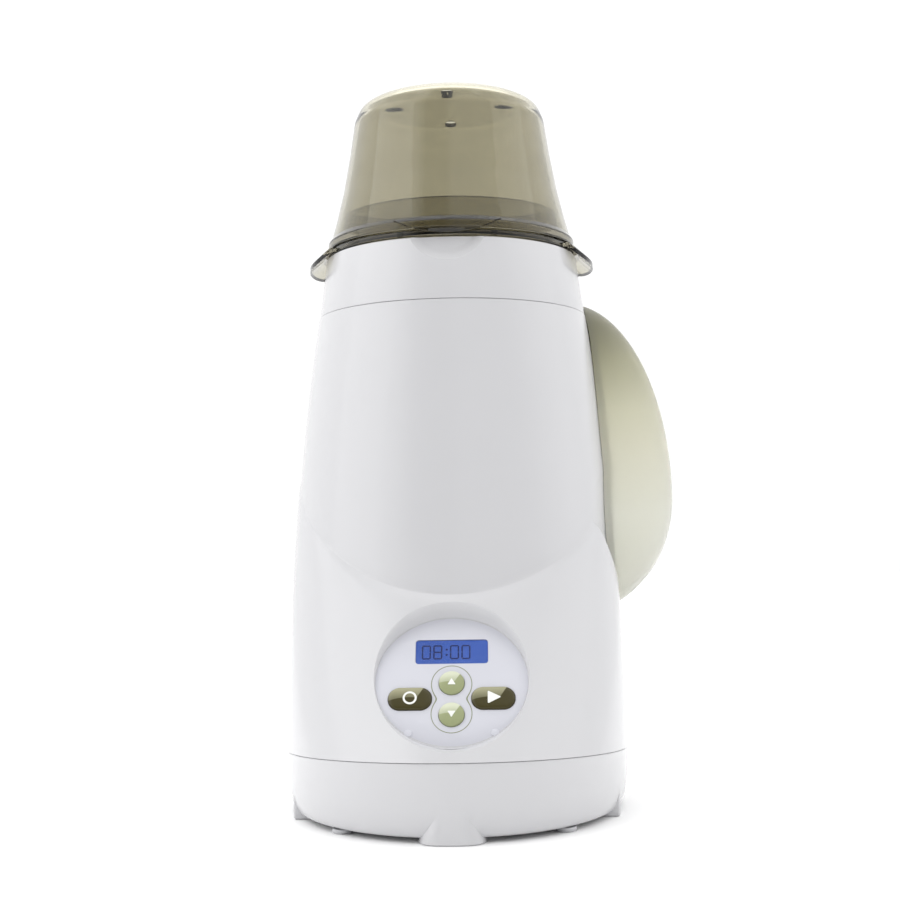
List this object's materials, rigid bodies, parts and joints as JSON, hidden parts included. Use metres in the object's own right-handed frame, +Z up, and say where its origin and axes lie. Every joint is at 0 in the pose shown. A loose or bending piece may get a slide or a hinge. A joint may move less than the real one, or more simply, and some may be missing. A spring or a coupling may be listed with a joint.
{
  "type": "bottle warmer",
  "caption": "Countertop steam bottle warmer: tapered white housing with a sloped control panel, smoky domed lid and lift-out basket, and a side water tank.",
  "frame": {"origin": "under the middle of the bounding box, on the surface it stands on", "axes": "+Z up, the panel faces -Y, the water tank is on the +X side"},
  "size_m": [0.1634, 0.173, 0.2955],
  "materials": {
    "white_housing": "glossy white ABS",
    "smoky_clear": "smoky olive clear plastic, glossy",
    "frosted_tank": "frosted olive-grey translucent plastic",
    "fascia_grey": "satin pale grey overlay",
    "display_window": "clear tinted window",
    "display_blue": "backlit blue display",
    "olive_button": "dark olive gloss",
    "sage_button": "sage green gloss",
    "black_plastic": "black moulded plastic",
    "circuit_board": "green solder mask",
    "steel_hardware": "zinc-plated and stainless steel",
    "aluminium_chamber": "satin aluminium",
    "silicone": "translucent silicone",
    "dark_rubber": "dark grey rubber",
    "transformer_tape": "yellow insulating tape",
    "relay_blue": "blue plastic case"
  },
  "bodies": {
    "housing": {"body_shell": "white_housing", "top_collar": "white_housing", "base_tray": "white_housing", "cord_bushing": "dark_rubber", "rubber_foot_1": "dark_rubber", "rubber_foot_2": "dark_rubber", "rubber_foot_3": "dark_rubber", "rubber_foot_4": "dark_rubber", "base_screw_1": "steel_hardware", "base_screw_2": "steel_hardware", "base_screw_3": "steel_hardware", "base_screw_4": "steel_hardware", "heating_well": "aluminium_chamber", "well_gasket": "silicone", "heating_plate": "aluminium_chamber", "heating_element": "steel_hardware", "thermostat": "black_plastic", "thermal_fuse": "silicone", "feed_tube": "silicone", "dock_seat": "silicone", "panel_face": "fascia_grey", "display_lens": "display_window", "lcd_module": "display_blue", "control_board": "circuit_board", "board_screw_left": "steel_hardware", "board_screw_right": "steel_hardware", "switch_up": "black_plastic", "switch_down": "black_plastic", "switch_stop": "black_plastic", "switch_start": "black_plastic", "power_board": "circuit_board", "transformer": "transformer_tape", "relay": "relay_blue", "capacitor": "black_plastic", "power_screw_left": "steel_hardware", "power_screw_right": "steel_hardware"},
    "tank": {"water_tank": "frosted_tank"},
    "cap": {"tank_cap": "black_plastic", "cap_gasket": "silicone"},
    "valve": {"valve_stem": "black_plastic", "valve_seal": "silicone", "valve_spring": "steel_hardware"},
    "basket_body": {"basket": "smoky_clear"},
    "lid_body": {"lid": "smoky_clear"},
    "up_button": {"button_up": "sage_button"},
    "down_button": {"button_down": "sage_button"},
    "stop_button": {"button_stop": "olive_button"},
    "start_button": {"button_start": "olive_button"}
  },
  "joints": [
    {"name": "basket_lift", "type": "slide", "parent": "housing", "child": "basket_body", "axis": [0, 0, 1], "range_m": [0, 0.15]},
    {"name": "lid_lift", "type": "slide", "parent": "basket_body", "child": "lid_body", "axis": [0, 0, 1], "range_m": [0, 0.09]},
    {"name": "tank_lift", "type": "slide", "parent": "housing", "child": "tank", "axis": [0.2079, 0, 0.9781], "range_m": [0, 0.09]},
    {"name": "cap_turn", "type": "hinge", "parent": "tank", "child": "cap", "pos_m": [0.0368, 0.02775, 0.072], "axis": [-0.2079, 0, -0.9781], "range_deg": [0, 90]},
    {"name": "valve_slide", "type": "slide", "parent": "cap", "child": "valve", "axis": [-0.2079, 0, -0.9781], "range_m": [0, 0.0024], "deforming": ["valve_spring"]},
    {"name": "up_press", "type": "slide", "parent": "housing", "child": "up_button", "axis": [0, 0.8453, -0.5344], "range_m": [0, 0.001], "stiffness_N_per_m": 800},
    {"name": "down_press", "type": "slide", "parent": "housing", "child": "down_button", "axis": [0, 0.8453, -0.5344], "range_m": [0, 0.001], "stiffness_N_per_m": 800},
    {"name": "stop_press", "type": "slide", "parent": "housing", "child": "stop_button", "axis": [0, 0.8453, -0.5344], "range_m": [0, 0.001], "stiffness_N_per_m": 800},
    {"name": "start_press", "type": "slide", "parent": "housing", "child": "start_button", "axis": [0, 0.8453, -0.5344], "range_m": [0, 0.001], "stiffness_N_per_m": 800}
  ],
  "couplings": [
    {"joint": "valve_slide", "follows": "tank_lift", "ratio": 0.0266}
  ]
}
